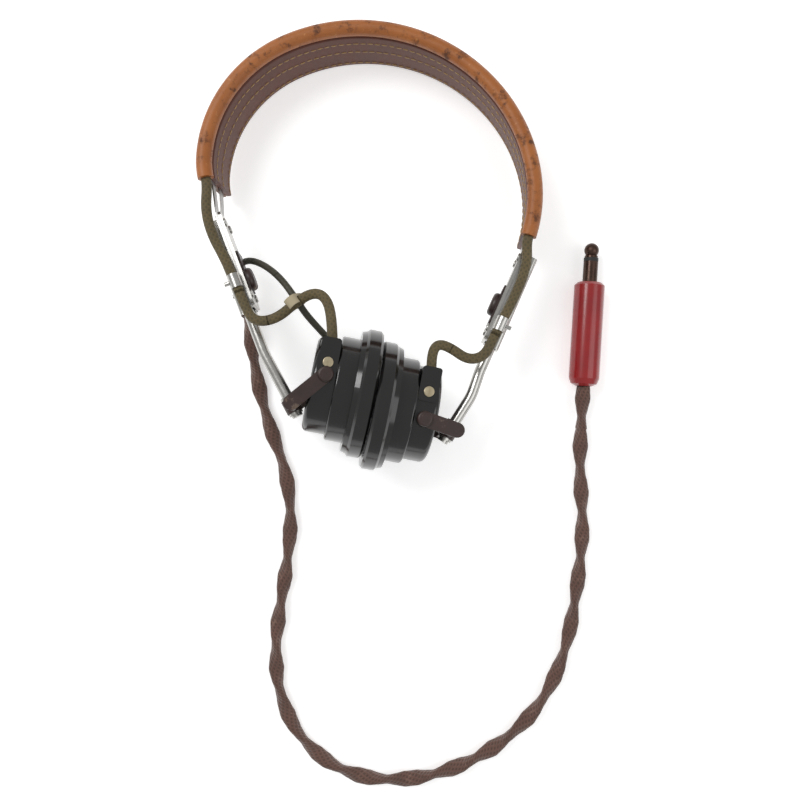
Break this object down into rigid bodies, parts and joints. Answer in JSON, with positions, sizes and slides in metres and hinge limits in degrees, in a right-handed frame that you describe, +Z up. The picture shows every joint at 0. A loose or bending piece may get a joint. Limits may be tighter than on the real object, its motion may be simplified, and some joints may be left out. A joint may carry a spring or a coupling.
{
  "type": "radio headset",
  "caption": "Wire-band radio headset with leather headband, sliding steel rods, hinged twin receivers, braided cord and finger plug, lying on its side.",
  "frame": {"origin": "on the table, under the middle of the headset's own box, without its main cord and plug", "axes": "+X to the wearer's-right end of the band, +Y towards the crown of the headband, +Z up, from the table through the near side of the headset"},
  "size_m": [0.1734, 0.3291, 0.0541],
  "materials": {
    "tan_leather": "worn waxed hide",
    "brown_leather": "dark polished hide",
    "spring_steel": "blued strip",
    "bright_steel": "polished",
    "olive_braid": "waxed cotton braid",
    "brown_enamel": "worn brown enamel",
    "black_bakelite": "polished moulding",
    "iron": "plain",
    "copper_wire": "enamelled copper wire",
    "brass": "tarnished",
    "dark_rubber": "satin",
    "tie_thread": "linen thread",
    "brown_braid": "cotton braid",
    "red_moulding": "polished moulding",
    "black_fibre": "plain"
  },
  "bodies": {
    "left_side": {"band_cover": "tan_leather", "band_lining": "brown_leather", "band_springs": "spring_steel", "cord_sleeve": "tan_leather", "dark_lead": "dark_rubber", "left_clamp_leaf": "brown_enamel", "left_cord_clip": "bright_steel", "left_lead": "olive_braid", "left_lead_clip": "bright_steel", "left_rod_guide": "bright_steel", "left_slider_plate": "bright_steel", "left_slider_rivets": "bright_steel", "link_cord": "olive_braid", "main_cord": "brown_braid", "plug_finger": "brass", "plug_handle": "red_moulding", "plug_insulator": "black_fibre", "plug_screws": "brass", "plug_tip": "brass", "thread_tie": "tie_thread"},
    "right_side": {"right_clamp_leaf": "brown_enamel", "right_lead": "olive_braid", "right_lead_clip": "bright_steel", "right_rod_guide": "bright_steel", "right_slider_plate": "bright_steel", "right_slider_rivets": "bright_steel"},
    "left_clamp_screw": {"left_clamp_screw": "brown_enamel"},
    "right_clamp_screw": {"right_clamp_screw": "brown_enamel"},
    "left_rod": {"left_rod": "bright_steel", "left_rod_collar": "bright_steel"},
    "right_rod": {"right_rod": "bright_steel", "right_rod_collar": "bright_steel"},
    "left_yoke": {"left_yoke": "brown_enamel"},
    "right_yoke": {"right_yoke": "brown_enamel"},
    "left_receiver": {"left_coils": "copper_wire", "left_cover_screw": "brass", "left_diaphragm": "spring_steel", "left_ear_cap": "black_bakelite", "left_magnet": "iron", "left_pivot_screws": "brown_enamel", "left_pole_pieces": "iron", "left_receiver_case": "black_bakelite", "left_terminal_cover": "black_bakelite", "left_terminals": "brass"},
    "right_receiver": {"right_coils": "copper_wire", "right_cover_screw": "brass", "right_diaphragm": "spring_steel", "right_ear_cap": "black_bakelite", "right_magnet": "iron", "right_pivot_screws": "brown_enamel", "right_pole_pieces": "iron", "right_receiver_case": "black_bakelite", "right_terminal_cover": "black_bakelite", "right_terminals": "brass"}
  },
  "joints": [
    {"name": "band_spread", "type": "hinge", "parent": "left_side", "child": "right_side", "pos_m": [0.0008, 0.06842, 0.01702], "axis": [0, 0.0761, 0.9971], "range_deg": [0, 22], "stiffness_Nm_per_rad": 0.5, "deforming": ["band_cover", "band_lining", "cord_sleeve", "band_springs", "link_cord"]},
    {"name": "left_clamp_turn", "type": "hinge", "parent": "left_side", "child": "left_clamp_screw", "pos_m": [-0.05192, -0.01366, 0.02328], "axis": [0.9336, 0.3573, -0.0273], "range_deg": [0, 360]},
    {"name": "left_rod_slide", "type": "slide", "parent": "left_side", "child": "left_rod", "axis": [-0.3584, 0.9309, -0.071], "range_m": [0, 0.012], "deforming": ["left_lead", "dark_lead", "thread_tie"]},
    {"name": "left_yoke_swivel", "type": "hinge", "parent": "left_rod", "child": "left_yoke", "pos_m": [-0.03135, -0.06557, 0.02724], "axis": [0.4767, -0.8765, 0.0669], "range_deg": [-30, 30]},
    {"name": "left_receiver_tilt", "type": "hinge", "parent": "left_yoke", "child": "left_receiver", "pos_m": [-0.01778, -0.05448, 0.02831], "axis": [0.1113, 0.055, 0.9923], "range_deg": [-25, 25]},
    {"name": "right_clamp_turn", "type": "hinge", "parent": "right_side", "child": "right_clamp_screw", "pos_m": [0.05545, -0.02441, 0.0241], "axis": [-0.915, 0.4024, -0.0307], "range_deg": [0, 360]},
    {"name": "right_rod_slide", "type": "slide", "parent": "right_side", "child": "right_rod", "axis": [0.4035, 0.9123, -0.0696], "range_m": [0, 0.012], "deforming": ["right_lead"]},
    {"name": "right_yoke_swivel", "type": "hinge", "parent": "right_rod", "child": "right_yoke", "pos_m": [0.03368, -0.07605, 0.02804], "axis": [-0.5383, -0.8403, 0.0641], "range_deg": [-30, 30]},
    {"name": "right_receiver_tilt", "type": "hinge", "parent": "right_yoke", "child": "right_receiver", "pos_m": [0.02058, -0.07181, 0.02581], "axis": [0.1113, 0.055, 0.9923], "range_deg": [-25, 25]}
  ],
  "couplings": [
    {"joint": "left_yoke_swivel", "follows": "band_spread", "ratio": 0.15},
    {"joint": "left_receiver_tilt", "follows": "band_spread", "ratio": 0.5},
    {"joint": "right_yoke_swivel", "follows": "band_spread", "ratio": -0.15},
    {"joint": "right_receiver_tilt", "follows": "band_spread", "ratio": -0.5}
  ]
}
